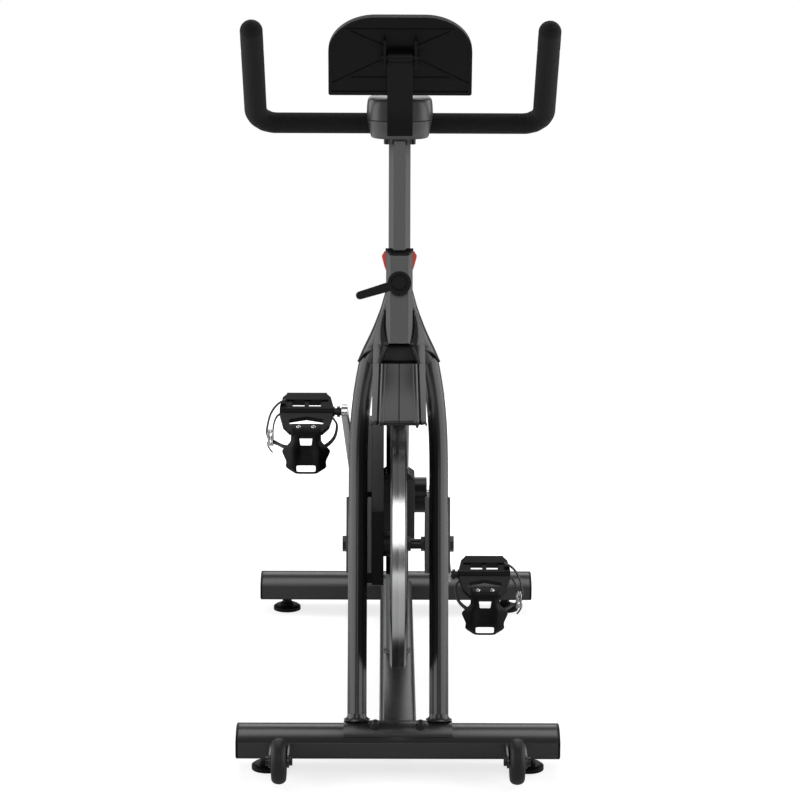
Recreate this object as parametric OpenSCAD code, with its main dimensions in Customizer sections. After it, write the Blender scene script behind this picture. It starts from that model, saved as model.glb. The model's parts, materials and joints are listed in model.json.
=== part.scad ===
// Indoor cycling bike, one module per piece. Millimetres, floor at z = 0.
// The front of the bike faces -Y; +X is the rider's left.

/* [Base] */
// Length of both floor stabilizers
stabilizer_length = 500; // [400:5:600]
// Depth of a stabilizer
stabilizer_depth = 80; // [60:1:100]
// Height of the underside of the stabilizers
base_height = 28; // [20:1:40]
// Height from the underside to the crown of a stabilizer
stabilizer_height = 43; // [35:1:60]
// Y of the front stabilizer's centre
front_y = -382.5; // [-420:0.5:-340]
// Y of the rear stabilizer's centre
rear_y = 467.5; // [420:0.5:500]
// Width of the floor beam
beam_width = 58; // [50:1:70]
// Distance of the levelling feet from the middle
foot_x = 202; // [150:1:230]
// Radius of the levelling feet
foot_radius = 25; // [18:1:30]
// Distance of the transport wheels from the middle
wheel_x = 181; // [150:1:220]
// Radius of the transport wheels
wheel_radius = 35; // [25:1:45]
// Y of the transport wheels' axle
wheel_y = -472.5; // [-490:0.5:-450]
// Height of the transport wheels' axle
wheel_z = 44; // [38:1:50]

/* [Head] */
// Lean of the head tube and handlebar post, in degrees
head_lean = 15; // [8:1:20]
// Length of the head tube
head_length = 143.5; // [120:0.5:180]
// Width of the head tube
head_width = 41; // [36:1:50]
// Width of the handlebar post
post_width = 33.6; // [28:0.2:40]
// Depth of the handlebar post
post_depth = 44; // [36:1:50]

/* [Handlebar] */
// Radius of the foam on the handlebar
grip_radius = 16; // [13:0.5:20]
// Half the distance between the two grips' centre lines
grip_x = 222; // [190:1:240]

/* [Wheel and drive] */
// Radius of the flywheel
flywheel_radius = 197; // [170:1:230]
// Width of the flywheel's rim
flywheel_width = 25; // [18:1:35]
// Y of the flywheel axle
axle_y = -232; // [-260:1:-200]
// Height of the flywheel axle
axle_z = 320; // [290:1:350]
// Y of the crank axle
crank_y = 78; // [50:1:110]
// Height of the crank axle
crank_z = 320; // [290:1:350]
// Crank length
crank_length = 170; // [150:1:180]
// Angle of the raised crank forward of the vertical, in degrees
crank_angle = 21.5; // [0:0.5:45]
// Pitch of the free pedals at rest, front edge down, in degrees
pedal_pitch = 33; // [0:1:45]

/* [Seat] */
// Lean of the seat tube, in degrees
seat_lean = 17; // [12:1:22]
// Radius of the seat post
seat_post_radius = 16; // [13:0.5:18]
// Height of the top of the seat slider
slider_z = 968; // [900:1:1020]

/* [Hidden] */
$fn = 48;
eps = 0.01;
grey = [0.33, 0.34, 0.35];
black = [0.08, 0.08, 0.08];
chrome = [0.75, 0.76, 0.77];
head_base = [0, -267.7, 648.7];
lever_z = 91.5;
base_top = base_height + stabilizer_height;
crank_tip = [crank_y - crank_length * sin(crank_angle), crank_z + crank_length * cos(crank_angle)];
far_tip = [crank_y + crank_length * sin(crank_angle), crank_z - crank_length * cos(crank_angle)];
seat_axis = [0, sin(seat_lean), cos(seat_lean)];
seat_foot = [0, 5, 60];
seat_tube_length = 590;

// places children with their z axis from a to b
module along(a, b) {
  d = b - a;
  translate(a) rotate([0, acos(d[2] / norm(d)), atan2(d[1], d[0])]) children();
}
module rod(a, b, r) along(a, b) cylinder(h = norm(b - a), r = r);
module rod_x(x1, x2, r, y, z) translate([x1, y, z]) rotate([0, 90, 0]) cylinder(h = x2 - x1, r = r);
module mirror_x() {
  children();
  mirror([1, 0, 0]) children();
}
// rectangle with cut corners
module octagon(w, d, c) {
  polygon([[w/2 - c, -d/2], [w/2, -d/2 + c], [w/2, d/2 - c], [w/2 - c, d/2],
           [-w/2 + c, d/2], [-w/2, d/2 - c], [-w/2, -d/2 + c], [-w/2 + c, -d/2]]);
}
module on_head() translate(head_base) rotate([-head_lean, 0, 0]) children();
module on_seat() translate(seat_foot) rotate([-seat_lean, 0, 0]) children();
module at_crank() translate([0, crank_y, crank_z]) children();
module on_brake() translate([0, -205, 640]) rotate([-12, 0, 0]) children();
// profile in the YZ plane, extruded along x
module side(x1, x2) translate([x1, 0, 0]) rotate([90, 0, 90]) linear_extrude(x2 - x1) children();

// ---- base ----
module stabilizer_profile(inset) {
  intersection() {
    translate([0, -15]) circle(r = 58 - inset, $fn = 160);
    offset(r = 6) offset(delta = -6) translate([-stabilizer_depth/2 + inset, inset])
      square([stabilizer_depth - 2*inset, stabilizer_height]);
  }
}
module stabilizer(y) {
  l = stabilizer_length/2 - 4;
  difference() {
    translate([0, y, base_height]) side(-l, l) stabilizer_profile(0);
    translate([0, y, base_height]) side(-l - 1, l + 1) stabilizer_profile(2.5);
    for (s = [-1, 1]) translate([s * foot_x, y, base_height - 1]) cylinder(h = 40, r = 5.05);
  }
}
module front_stabilizer() color(grey) {
  stabilizer(front_y);
  mirror_x() wheel_fork();
}
module rear_stabilizer() color(grey) stabilizer(rear_y);
module stabilizer_caps() color(black) {
  l = stabilizer_length/2;
  for (y = [front_y, rear_y]) translate([0, y, base_height]) mirror_x() {
    side(l - 4, l - 1) stabilizer_profile(0);
    side(l - 1, l) stabilizer_profile(1.5);
    side(l - 20, l - 4) difference() {
      stabilizer_profile(2.8);
      stabilizer_profile(6);
    }
  }
}
module foot(x, y) translate([x, y, 0]) {
  cylinder(h = 6, r = foot_radius);
  translate([0, 0, 6]) cylinder(h = 3, r1 = foot_radius, r2 = foot_radius - 4);
  translate([0, 0, 9]) cylinder(h = 4, r = 12);
  translate([0, 0, 13]) cylinder(h = 8, r = 8.5, $fn = 6);
  translate([0, 0, 13]) cylinder(h = 36, r = 5);
}
module foot_front_left() color(black) foot(foot_x, front_y);
module foot_front_right() color(black) foot(-foot_x, front_y);
module foot_rear_left() color(black) foot(foot_x, rear_y);
module foot_rear_right() color(black) foot(-foot_x, rear_y);
module transport_wheel(x) translate([x, wheel_y, wheel_z]) rotate([0, 90, 0]) rotate_extrude($fn = 96)
  polygon([[4.05, -11], [14, -11], [15, -8], [23, -8], [24, -11], [26, -11.5], [29, -10.8], [31.8, -9], [33.8, -6],
           [34.7, -3], [wheel_radius, 0], [34.7, 3], [33.8, 6], [31.8, 9], [29, 10.8], [26, 11.5], [24, 11], [23, 8],
           [15, 8], [14, 11], [4.05, 11]]);
module transport_wheel_left() color(black) transport_wheel(wheel_x);
module transport_wheel_right() color(black) transport_wheel(-wheel_x);
module wheel_fork() {
  for (s = [-1, 1]) side(wheel_x + s * 14 - 1.5, wheel_x + s * 14 + 1.5) difference() {
    union() {
      translate([wheel_y, wheel_z]) circle(r = 10);
      polygon([[wheel_y, wheel_z - 10], [front_y - 40, wheel_z - 13], [front_y - 40, wheel_z + 10], [wheel_y, wheel_z + 10]]);
    }
    translate([wheel_y, wheel_z]) circle(r = 4.05);
  }
  side(wheel_x - 15.5, wheel_x + 15.5) translate([front_y - 44, wheel_z - 13]) square([4, 23]);
}
module wheel_bolt() {
  rod_x(wheel_x - 18, wheel_x + 18, 4, wheel_y, wheel_z);
  rod_x(wheel_x + 15.6, wheel_x + 20.5, 7, wheel_y, wheel_z);
  translate([wheel_x - 20.5, wheel_y, wheel_z]) rotate([0, 90, 0]) cylinder(h = 4.9, r = 7, $fn = 6);
}
module frame_bolts() color(chrome) {
  mirror_x() wheel_bolt();
  for (x = [-35, 35]) translate([x, -396, base_top - 2]) {
    cylinder(h = 4, r = 9);
    translate([0, 0, 4]) cylinder(h = 5, r = 7.5, $fn = 6);
    translate([0, 0, 9]) intersection() {
      sphere(r = 6.5);
      translate([0, 0, 5]) cube([20, 20, 10], center = true);
    }
  }
}
module base_plate() color(grey) translate([0, front_y, base_height]) side(-84, 84) difference() {
  intersection() {
    translate([0, -15]) circle(r = 62, $fn = 160);
    translate([-31, 20]) square([66, 40]);
  }
  translate([0, -15]) circle(r = 58, $fn = 160);
}
module beam_profile(inset) offset(r = 9 - inset) offset(delta = -9)
  translate([-beam_width/2, 0]) square([beam_width, 37]);
module floor_beam() color(grey) difference() {
  translate([0, rear_y - 36, 30]) rotate([90, 0, 0]) linear_extrude(rear_y - 36 - (front_y + 34)) beam_profile(0);
  translate([0, rear_y, 30]) rotate([90, 0, 0]) linear_extrude(rear_y - front_y) beam_profile(3);
  for (y = [front_y, rear_y]) translate([0, y, base_height]) side(-40, 40) stabilizer_profile(0);
}

// ---- frame ----
// each leg is straight up to its knee, then follows one cubic curve into the crown
leg_foot = [63.7, -367, 70];
leg_curve = [[63.7, -232, 400], [63.7, -198, 483], [64.5, -205, 548], [37, -207, 655]];
// the leg stops inside the crown, at this share of the curve
leg_top = 0.88;
function bezier(c, t) = pow(1 - t, 3) * c[0] + 3 * t * pow(1 - t, 2) * c[1] + 3 * t * t * (1 - t) * c[2] + pow(t, 3) * c[3];
function slope(c, t) = pow(1 - t, 2) * (c[1] - c[0]) + 2 * t * (1 - t) * (c[2] - c[1]) + t * t * (c[3] - c[2]);
// ring of a tube with rounded sides that meet in a soft ridge at the front and back
function ridge(c) = sign(c) * pow(abs(c), 1.25);
function leg_ring(p, d, w, h, n) = let (a = atan2(d[1], d[2]))
  [for (k = [0 : n - 1]) let (x = w * ridge(cos(360 * k / n)), y = h * ridge(sin(360 * k / n)))
    p + [x, y * cos(a), -y * sin(a)]];
module leg_tube(t, over) {
  n = 32;
  d0 = slope(leg_curve, 0) / norm(slope(leg_curve, 0));
  d1 = slope(leg_curve, leg_top) / norm(slope(leg_curve, leg_top));
  m = 16;
  rings = concat(
    [leg_ring(leg_foot - over * d0, d0, 15 - t, 18 - t, n)],
    [for (i = [0 : m - 1]) let (u = leg_top * i / m)
      leg_ring(bezier(leg_curve, u), slope(leg_curve, u), 15 - t, 18 - t, n)],
    [leg_ring(bezier(leg_curve, leg_top) + over * d1, d1, 15 - t, 18 - t, n)]);
  polyhedron(points = [for (r = rings) for (q = r) q],
    faces = concat([[for (k = [0 : n - 1]) k]], [[for (k = [n - 1 : -1 : 0]) (m + 1) * n + k]],
      [for (i = [0 : m]) for (k = [0 : n - 1]) [i * n + k, (i + 1) * n + k, (i + 1) * n + (k + 1) % n]],
      [for (i = [0 : m]) for (k = [0 : n - 1]) [i * n + k, (i + 1) * n + (k + 1) % n, i * n + (k + 1) % n]]));
}
module dropout() difference() {
  // bracket behind the leg that carries the flywheel axle
  side(42, 82) polygon([[-262, 280], [-240, 276], [-208, 300], [-205, 352], [-214, 392], [-232, 396]]);
  side(46, 78) polygon([[-223, 270], [-190, 270], [-190, 404], [-208, 404], [-214, 340]]);
}
module leg() difference() {
  union() {
    leg_tube(0, 0);
    dropout();
  }
  leg_tube(2.5, 3);
  rod_x(40, 84, 8.05, axle_y, axle_z);
}
module left_leg() color(grey) leg();
module right_leg() color(grey) mirror([1, 0, 0]) leg();
module crown_arm() {
  p = [[8, -240, 738], [16, -236, 701], [21.5, -228, 676], [29, -219, 651], [39.5, -211, 625], [47.6, -207, 606]];
  r = [10, 12, 15, 17, 18, 18.3];
  for (i = [0 : len(p) - 2]) hull() {
    translate(p[i]) scale([0.92, 1.25, 0.5]) sphere(r = r[i], $fn = 24);
    translate(p[i + 1]) scale([0.92, 1.25, 0.5]) sphere(r = r[i + 1], $fn = 24);
  }
}
module crown() color(grey) difference() {
  union() {
  mirror_x() crown_arm();
  hull() for (p = [[-26, -230, 640], [26, -230, 640], [-10, -238, 722], [10, -238, 722]])
    translate(p) sphere(r = 12, $fn = 24);
  }
  on_head() translate([0, 0, -30]) linear_extrude(200) octagon(head_width - 0.4, 52.6, 7);
}
// everything in front of and above the slanted mouth of the head tube, raised by dz
module above_mouth(dz) translate([0, 0, head_length + dz]) side(-40, 40)
  polygon([[-40, -8], [-26.5, -8], [-19.5, 0], [40, 0], [40, 40], [-40, 40]]);
module head_tube() color(grey) on_head() difference() {
  linear_extrude(head_length) octagon(head_width, 53, 7);
  translate([0, 0, -1]) linear_extrude(head_length + 2) octagon(head_width - 4.4, 48.6, 6);
  translate([0, -10, lever_z]) rotate([90, 0, 0]) cylinder(h = 30, r = 6.2);
  above_mouth(0);
}
module head_bushing() color(black) on_head() difference() {
  union() {
    translate([0, 0, 62]) linear_extrude(head_length - 61) octagon(head_width - 4.6, 48.4, 6);
    intersection() {
      translate([0, 0, head_length - 10]) linear_extrude(16) octagon(head_width + 2, 55, 7.5);
      above_mouth(0);
    }
  }
  above_mouth(4);
  translate([0, 0, 50]) linear_extrude(120) octagon(post_width + 0.5, post_depth + 0.5, 8);
  translate([0, -10, lever_z]) rotate([90, 0, 0]) cylinder(h = 30, r = 6.3);
}
module bushing_tabs() color([0.7, 0.07, 0.06]) on_head() mirror_x()
  translate([0, 16, 0]) rotate([90, 0, 0]) linear_extrude(32)
    translate([head_width/2, head_length - 28]) polygon([[0, 0], [2.4, 6], [6.4, 21], [2.5, 27.8], [0, 27.8]]);
fender_line = [[-291, 655], [-299, 645], [-305, 625], [-316, 578], [-332, 538]];
module fender() color(grey) {
  // face plate between two side flanges that turn back, with a crease down the middle
  side(-41, 41) polygon(concat(fender_line, [for (i = [4 : -1 : 0]) fender_line[i] + [3, 0.6]]));
  mirror_x() {
    side(39, 42.5) polygon([[-297.5, 645], [-262, 645], [-286, 575], [-304, 534], [-330.5, 534], [-314.5, 578],
                          [-303.5, 625]]);
    side(21.5, 36) polygon([[-289.5, 643], [-287, 664], [-263, 664], [-263, 643]]);
    side(21.5, 29) polygon([[-288, 660], [-275, 690], [-262, 690], [-262.5, 660]]);
  }
  side(-1.5, 1.5) polygon([[-305.2, 620], [-317, 578], [-331.2, 542], [-329.8, 542], [-314.5, 578], [-303, 620]]);
}
module main_tube() color(grey) difference() {
  union() {
    along([0, -236, 690], [0, 82, 372]) cylinder(h = norm([318, 318]), r = 19);
    on_brake() cylinder(h = 70, r = 12);
  }
  along([0, -237, 691], [0, 83, 371]) cylinder(h = norm([320, 320]), r = 16.5);
  on_head() translate([0, 0, -30]) linear_extrude(200) octagon(head_width - 0.4, 52.6, 7);
  // ways for the seat post and the brake rod
  on_seat() translate([0, 0, 300]) cylinder(h = 280, r = 17.45);
  on_brake() cylinder(h = 160, r = 6.5, center = true);
}
module seat_tube() color(grey) on_seat() difference() {
  union() {
    cylinder(h = seat_tube_length, r = 19);
    translate([0, 0, seat_tube_length - 45]) cylinder(h = 45, r = 21);
    translate([0, 10, seat_tube_length - 24]) rotate([-90, 0, 0]) cylinder(h = 20, r = 10);
  }
  translate([0, 0, 300]) cylinder(h = seat_tube_length, r = 17.45);
  translate([0, 0, -1]) cylinder(h = 302, r = 16.5);
  translate([0, 0, seat_tube_length - 24]) rotate([-90, 0, 0]) cylinder(h = 40, r = 5.05);
  rotate([seat_lean, 0, 0]) translate(-seat_foot) rod_x(-30, 30, 24.1, crank_y, crank_z);
}
module seat_bushing() color(black) on_seat() difference() {
  union() {
    translate([0, 0, seat_tube_length - 90]) cylinder(h = 90, r = 17.4);
    translate([0, 0, seat_tube_length]) cylinder(h = 4, r = 22);
  }
  translate([0, 0, seat_tube_length - 100]) cylinder(h = 120, r = seat_post_radius + 0.08);
  translate([0, 0, seat_tube_length - 24]) rotate([-90, 0, 0]) cylinder(h = 40, r = 5.1);
}
module bottom_bracket() color(grey) difference() {
  union() {
    hull() {
      side(-29, 29) translate([crank_y - 34, crank_z - 68]) square([68, 102]);
      side(-19, 19) translate([crank_y - 26, crank_z + 40]) square([52, 3]);
    }
    side(-6, 6) polygon([[crank_y - 34, crank_z + 20], [crank_y - 34, crank_z - 20], [-28, 440], [-10, 468]]);
  }
  rod_x(-30, 30, 24.05, crank_y, crank_z);
}
module bearing_cups() color(black) difference() {
  union() {
    rod_x(10, 29, 24, crank_y, crank_z);
    rod_x(29, 49.5, 30, crank_y, crank_z);
    rod_x(-27, -10, 24, crank_y, crank_z);
  }
  rod_x(-60, 60, 8.6, crank_y, crank_z);
  rod_x(-11, 20, 18, crank_y, crank_z);
}

// ---- flywheel ----
module flywheel() color(chrome) translate([0, axle_y, axle_z]) rotate([0, 90, 0]) rotate_extrude($fn = 128)
  polygon([[22.3, -10], [40, -10], [46, -5], [120, -5], [136, -11], [190, -12.5], [flywheel_radius, -9.5],
           [flywheel_radius, 9.5], [190, 12.5], [136, 11], [120, 5], [46, 5], [40, 10], [22.3, 10]]);
module flywheel_hub() color([0.2, 0.2, 0.2]) translate([0, axle_y, axle_z]) rotate([0, 90, 0]) difference() {
  union() {
    translate([0, 0, -10]) cylinder(h = 20, r = 22.3);
    translate([0, 0, -39.8]) cylinder(h = 30, r = 20);
    for (z = [-39.8, -30.5]) translate([0, 0, z]) cylinder(h = 0.8, r = 25);
    translate([0, 0, 10]) cylinder(h = 4, r = 18);
  }
  translate([0, 0, -50]) cylinder(h = 80, r = 8.08);
}
module flywheel_axle() color(black) {
  rod_x(-88, 88, 8, axle_y, axle_z);
  for (x = [-88, 82.1]) translate([x, axle_y, axle_z]) rotate([0, 90, 0]) cylinder(h = 5.9, r = 13, $fn = 6);
  for (x = [14.3, 36]) translate([x, axle_y, axle_z]) rotate([0, 90, 0]) cylinder(h = 5.8, r = 12, $fn = 6);
}
module drive_belt() color([0.05, 0.05, 0.05]) {
  // open belt around both pulleys
  difference() {
    hull() {
      rod_x(-38.8, -31.2, 22.6, axle_y, axle_z);
      rod_x(-38.8, -31.2, 102.6, crank_y, crank_z);
    }
    hull() {
      rod_x(-40, -30, 20.5, axle_y, axle_z);
      rod_x(-40, -30, 100.5, crank_y, crank_z);
    }
  }
}
module guard_outline(inset) {
  difference() {
    hull() {
      translate([axle_y, axle_z]) circle(r = 66 - inset, $fn = 72);
      translate([crank_y, crank_z]) circle(r = 134 - inset, $fn = 96);
    }
    translate([axle_y - 70, axle_z - 80]) square([42 + inset, 200]);
  }
}
guard_step = -196;
module belt_guard_outer() color([0.12, 0.12, 0.12]) difference() {
  union() {
    side(-61, -42) guard_outline(0);
    side(-62.5, -60) guard_outline(6);
  }
  intersection() {
    side(-59.5, -40) guard_outline(3);
    translate([-100, guard_step + 2.5, 0]) cube([100, 600, 600]);
  }
  // the front end is cut away, clear of the leg
  translate([-100, guard_step - 400, 0]) cube([100, 400, 600]);
  rod_x(-70, -50, 26, crank_y, crank_z);
}
module belt_guard_inner() color([0.12, 0.12, 0.12]) difference() {
  union() {
    difference() {
      side(-41.8, -23) guard_outline(0);
      side(-42, -25) guard_outline(3);
    }
    // lid over the front end, where the outer shell stops short of the leg
    intersection() {
      side(-41.3, -39.8) guard_outline(1.5);
      translate([-100, guard_step - 400, 0]) cube([100, 406, 600]);
    }
  }
  rod_x(-50, 0, 23, axle_y, axle_z);
  side(-35, 0) translate([crank_y - 36, crank_z - 72]) square([72, 120]);
}

// ---- cranks and pedals ----
module drive_pulley() color([0.25, 0.25, 0.26]) difference() {
  union() {
    rod_x(-39, -31, 99.8, crank_y, crank_z);
    rod_x(-50, -38, 22, crank_y, crank_z);
  }
  rod_x(-60, -20, 8.5, crank_y, crank_z);
  rod_x(-34, -20, 60, crank_y, crank_z);
  for (a = [0 : 72 : 288]) at_crank() rotate([a, 0, 0]) rod_x(-60, -20, 20, 72, 0);
}
module crank_axle() color(chrome) {
  rod_x(-77, 77, 8.5, crank_y, crank_z);
  for (s = [-1, 1]) translate([s * 79, crank_y, crank_z]) rotate([0, 90, 0]) cylinder(h = 7, r = 8, $fn = 6, center = true);
}
// crank arm from the axle at (0,0) to the pedal eye at length l, thickness along x
module crank_arm() {
  difference() {
    union() {
      rod_x(53, 76, 16, 0, 0);
      rod_x(83.5, 93.5, 12.5, 0, crank_length);
      hull() {
        rod_x(64, 75, 14, 0, 6);
        rod_x(83.5, 93.5, 11, 0, crank_length);
      }
    }
    rod_x(50, 90, 8.5, 0, 0);
    rod_x(80, 96, 6.5, 0, crank_length);
  }
}
module crank_left() color(chrome) at_crank() rotate([180 + crank_angle, 0, 0]) crank_arm();
module crank_right() color(chrome) at_crank() rotate([crank_angle, 0, 0]) mirror([1, 0, 0]) crank_arm();
module pedal_spindle(y, z) {
  rod_x(83.5, 96, 6.5, y, z);
  rod_x(96, 101, 9, y, z);
  rod_x(101, 190, 6, y, z);
}
module pedal_spindles() color(chrome) {
  pedal_spindle(far_tip[0], far_tip[1]);
  mirror([1, 0, 0]) pedal_spindle(crank_tip[0], crank_tip[1]);
}
// pedal about its spindle, long axis along x; at rest its front edge hangs low
pedal_mid = 151.5;
module pedal_body() rotate([pedal_pitch, 0, 0]) difference() {
  union() {
    translate([pedal_mid, 0, -4.5]) linear_extrude(9) difference() {
      polygon([[-33, 37], [33, 37], [40, 29], [44.5, 8], [44.5, -8], [38, -36], [27, -50],
               [-27, -50], [-38, -36], [-44.5, -8], [-44.5, 8], [-40, 29]]);
      for (s = [-1, 1]) translate([s * 13.5, 14.5]) square([20, 13], center = true);
      polygon([[-30, -33], [-8, -33], [-6, -37], [6, -37], [8, -33], [30, -33], [27, -22], [0, -16], [-27, -22]]);
    }
    translate([pedal_mid, 0, -7]) linear_extrude(14) polygon([[-33, 37], [33, 37], [36, 21], [-36, 21]]);
    rod_x(105, 196, 8.5, 0, 0);
  }
  rod_x(90, 192, 6.08, 0, 0);
}
module toe_clip() {
  // plate that hangs from the front edge of the pedal
  translate([pedal_mid, -44, 0]) rotate([90, 0, 0]) linear_extrude(2.6) offset(r = 3) offset(delta = -3) difference() {
    polygon([[-24.5, -22], [24.5, -22], [24.5, -42], [40, -56], [40, -62], [32.5, -76], [34, -85], [16, -96.5],
             [-16, -96.5], [-34, -85], [-32.5, -76], [-40, -62], [-40, -56], [-24.5, -42]]);
    polygon([[-11.5, -33], [11.5, -33], [9, -47], [-9, -47]]);
    translate([-15.5, -93]) square([31, 11.5]);
  }
  // lugs back to the pedal, and the bolts in them
  for (x = [-12.3, 12.3]) translate([pedal_mid + x, -46, -29]) {
    translate([-6, 0, -4]) cube([12, 6, 8]);
    rotate([pedal_pitch, 0, 0]) cylinder(h = 11.5, r = 4.2, $fn = 24);
  }
}
inner_strap = [[108, -10, -8], [101, -14, -20], [105, -24, -38], [118, -33, -50], [130, -34, -53]];
outer_strap = [[187, 6, 13], [200, 4, 9], [211, 1, -4], [216.5, -3, -24], [217, -5, -36], [212, -8, -46],
               [201, -16, -50], [188, -30, -53], [172, -34, -54]];
module strap() for (pts = [inner_strap, outer_strap])
  for (i = [0 : len(pts) - 2]) hull() for (p = [pts[i], pts[i + 1]])
    translate(p) cube([1.6, 15, 1.6], center = true);
module buckle() translate([211, -8, -43]) difference() {
  cube([10, 21, 24], center = true);
  translate([0.5, 0, 0]) cube([7, 17, 40], center = true);
}
// rest attitude: the clip hangs straight down
module at_left_pedal() translate([0, far_tip[0], far_tip[1]]) children();
module at_right_pedal() translate([0, crank_tip[0], crank_tip[1]]) mirror([1, 0, 0]) children();
module pedal_left() color(black) at_left_pedal() pedal_body();
module pedal_right() color(black) at_right_pedal() pedal_body();
module toe_clip_left() color(black) at_left_pedal() toe_clip();
module toe_clip_right() color(black) at_right_pedal() toe_clip();
module strap_left() color(black) at_left_pedal() strap();
module strap_right() color(black) at_right_pedal() strap();
module buckle_left() color(chrome) at_left_pedal() buckle();
module buckle_right() color(chrome) at_right_pedal() buckle();

// ---- brake ----
module resistance_knob() color(black) on_brake() {
  translate([0, 0, 76]) cylinder(h = 7, r = 12);
  translate([0, 0, 82]) difference() {
    cylinder(h = 34, r = 17.5);
    for (a = [0 : 45 : 315]) rotate([0, 0, a]) translate([20.5, 0, -1]) cylinder(h = 40, r = 5, $fn = 24);
  }
  translate([0, 0, -103]) cylinder(h = 177, r = 5);
}
module brake_shoe() color([0.3, 0.25, 0.2]) difference() {
  side(-12, 12) difference() {
    translate([axle_y, axle_z]) circle(r = flywheel_radius + 20, $fn = 128);
    translate([axle_y, axle_z]) circle(r = flywheel_radius + 5, $fn = 128);
    translate([axle_y - 300, axle_z - 300]) square([600, 475]);
    translate([axle_y - 300, axle_z]) square([300, 300]);
    translate([axle_y + 42, axle_z]) square([300, 300]);
  }
}

// ---- seat ----
module seat_post() color(chrome) difference() {
  on_seat() translate([0, 0, 470]) cylinder(h = 481 - 26, r = seat_post_radius);
  on_seat() translate([0, 0, 469]) cylinder(h = 430, r = seat_post_radius - 2.5);
  translate([-40, 200, slider_z - 34]) cube([80, 200, 60]);
}
module seat_post_knob() color(black) on_seat() translate([0, 0, seat_tube_length - 24]) rotate([-90, 0, 0]) {
  translate([0, 0, 16.3]) cylinder(h = 24, r = 5);
  translate([0, 0, 31]) cylinder(h = 9, r = 11);
  translate([0, 0, 40]) difference() {
    cylinder(h = 18, r = 18);
    for (a = [0 : 60 : 300]) rotate([0, 0, a]) translate([22, 0, -1]) cylinder(h = 20, r = 7, $fn = 24);
  }
}
post_top_y = seat_foot[1] + (slider_z - 34 - seat_foot[2]) * tan(seat_lean);
module seat_head() color(black) {
  // channel on top of the post that carries the slider
  difference() {
    translate([-24, post_top_y - 45, slider_z - 34]) cube([48, 90, 33]);
    translate([-19.2, post_top_y - 50, slider_z - 28.2]) cube([38.4, 100, 28]);
    translate([0, post_top_y + 30, slider_z - 60]) cylinder(h = 50, r = 5.05);
  }
  translate([0, post_top_y + 30, slider_z - 50]) difference() {
    cylinder(h = 16, r = 9);
    translate([0, 0, -1]) cylinder(h = 20, r = 5.05);
  }
}
module seat_slider() color(grey) {
  translate([-19, post_top_y - 110, slider_z - 28]) cube([38, 240, 24]);
  translate([0, post_top_y + 5, slider_z - 4]) cylinder(h = 12, r = 11);
  translate([-24, post_top_y - 10, slider_z + 4]) cube([48, 30, 16]);
  mirror_x() for (p = [[[22, -50, 13], [22, 62, 13]], [[22, -50, 13], [9, -100, 31]], [[22, 62, 13], [38, 104, 31]]]) {
    rod([p[0][0], post_top_y + p[0][1], slider_z + p[0][2]], [p[1][0], post_top_y + p[1][1], slider_z + p[1][2]], 3.5);
    translate([p[0][0], post_top_y + p[0][1], slider_z + p[0][2]]) sphere(r = 3.5, $fn = 24);
  }
}
module saddle_shape(k) hull() {
  translate([0, post_top_y - 118, slider_z + 38]) scale([21 * k, 21 * k, 17]) sphere(r = 1, $fn = 32);
  translate([0, post_top_y - 20, slider_z + 38]) scale([40 * k, 30, 20]) sphere(r = 1, $fn = 32);
  mirror_x() translate([50, post_top_y + 88, slider_z + 40]) scale([54 * k, 52 * k, 32]) sphere(r = 1, $fn = 40);
}
module saddle_pan() color(black) intersection() {
  saddle_shape(0.93);
  translate([-150, 0, slider_z + 28]) cube([300, 600, 7.6]);
}
module slider_knob() color(black) translate([0, post_top_y + 30, slider_z - 50]) {
  translate([0, 0, -6]) cylinder(h = 27, r = 5);
  translate([0, 0, -26]) cylinder(h = 20, r = 16);
}
module saddle() color(black) intersection() {
  saddle_shape(1);
  translate([-150, 0, slider_z + 36]) cube([300, 600, 60]);
}

// ---- handlebar ----
module handlebar_post() color(grey) on_head() difference() {
  translate([0, 0, 34.5]) linear_extrude(292) octagon(post_width, post_depth, 8);
  translate([0, 0, 26.5]) linear_extrude(290) octagon(post_width - 5, post_depth - 5, 6.5);
}
bar_c = [-184, 981.5];
tip = [-334, 1146];
bend = 32;
tip_slope = atan2(tip[1] - bar_c[1], bar_c[0] - tip[0]);
// the bar runs along x, bends, and each end runs forward and up
module bar_path(r, r_end) {
  translate([0, bar_c[0], bar_c[1]]) rotate([-tip_slope, 0, 0]) {
    l = norm(tip - bar_c);
    rotate([0, 90, 0]) cylinder(h = 2 * (grip_x - bend), r = r, center = true);
    mirror_x() {
      translate([grip_x - bend, -bend, 0]) rotate_extrude(angle = 90, $fn = 64) translate([bend, 0]) circle(r = r, $fn = 40);
      translate([grip_x, -bend, 0]) rotate([90, 0, 0]) cylinder(h = l - bend - r_end, r = r);
      translate([grip_x, -l + r_end, 0]) rotate([90, 0, 0]) intersection() {
        sphere(r = r);
        cylinder(h = r_end, r = r);
      }
    }
  }
}
module handlebar() color(grey) bar_path(11, 9);
module foam_grips() color([0.06, 0.06, 0.06]) difference() {
  bar_path(grip_radius, grip_radius);
  bar_path(11, 9);
  translate([-40, bar_c[0] - 40, bar_c[1] - 40]) cube([80, 80, 80]);
}
module console(z1, z2, r1, r2) {
  // shell around the bar and the top of the post
  difference() {
    translate([0, bar_c[0], 0]) hull() {
      translate([0, 0, z1]) linear_extrude(0.1) offset(r = 12) square([2 * r1 - 24, 56], center = true);
      translate([0, 0, z2 - 0.1]) linear_extrude(0.1) offset(r = 12) square([2 * r2 - 24, 56], center = true);
    }
    bar_path(grip_radius + 0.4, grip_radius);
    on_head() translate([0, 0, 256.5]) linear_extrude(75) octagon(post_width + 0.8, post_depth + 0.8, 8);
  }
}
module console_lower() color([0.13, 0.13, 0.14]) {
  console(960, 988.5, 46, 51.5);
  // screw heads under the shell
  mirror_x() translate([20, bar_c[0] - 26, 951]) cylinder(h = 9.5, r = 4.6, $fn = 24);
}
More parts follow.
